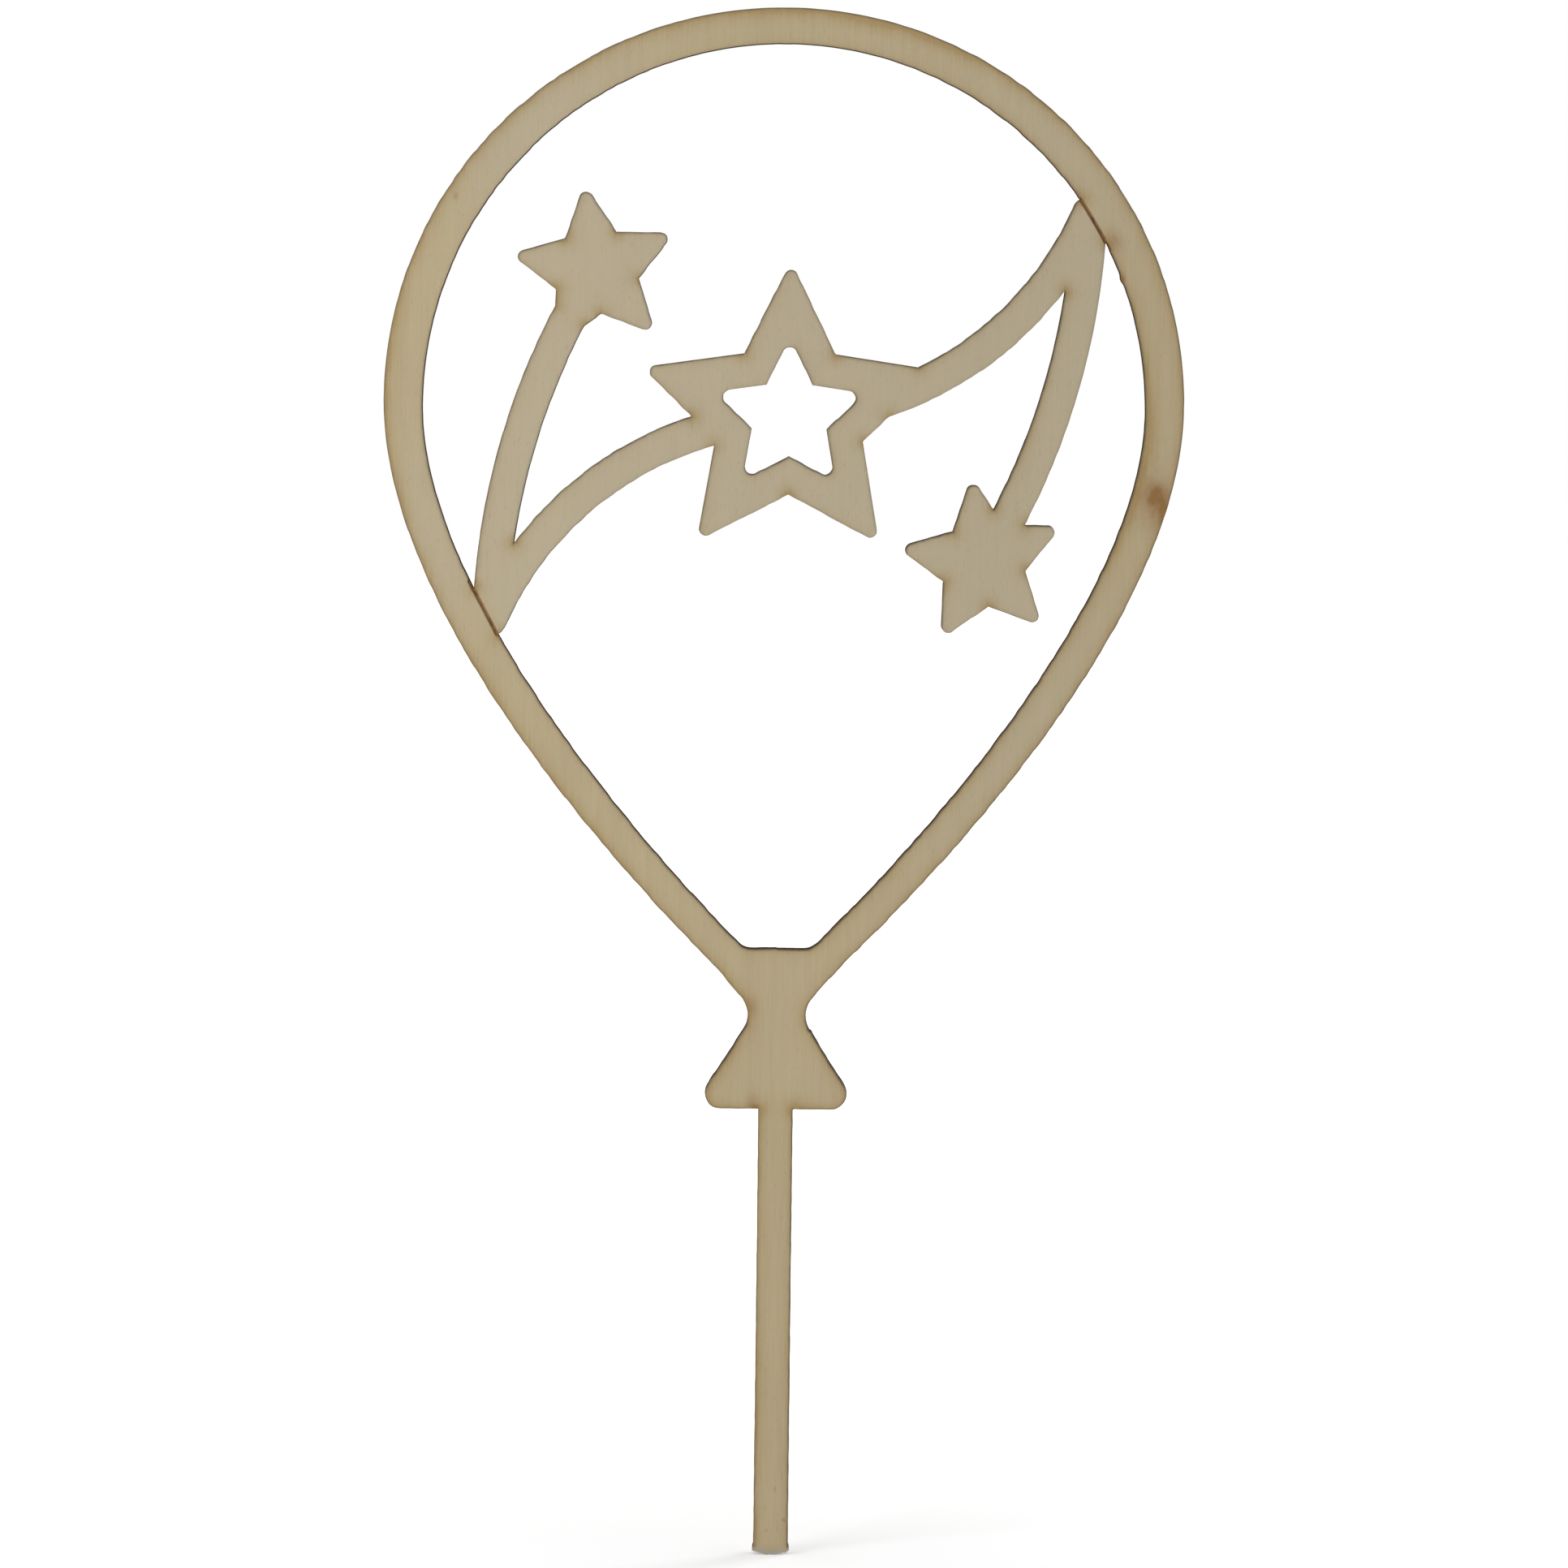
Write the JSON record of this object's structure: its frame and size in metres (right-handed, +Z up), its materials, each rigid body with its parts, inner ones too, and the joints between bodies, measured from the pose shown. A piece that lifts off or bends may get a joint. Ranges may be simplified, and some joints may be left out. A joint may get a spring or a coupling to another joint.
{
  "type": "cake topper",
  "caption": "Flat laser-cut plywood cake topper: an open balloon ring holding stars on streamers, a pinched knot below and a long flat stick that pushes into a cake.",
  "frame": {"origin": "on the stick's axis, halfway through the sheet, at the level of the knot's underside, where the stick enters the cake", "axes": "+Z up along the stick towards the balloon's top, +X to the right seen from the front, +Y out of the back of the sheet"},
  "size_m": [0.1, 0.003, 0.1939],
  "materials": {
    "face_veneer": "raw sanded face veneer, upright grain, scorched at the cut edges",
    "core_veneer": "raw core veneer, cross grain, seen only at the charred cut edge",
    "glue": "cured wood glue, seen only as a thin dark line in the cut edge"
  },
  "bodies": {
    "root": {"front_veneer": "face_veneer", "front_glue_line": "glue", "core_veneer": "core_veneer", "back_glue_line": "glue", "back_veneer": "face_veneer"}
  },
  "joints": []
}
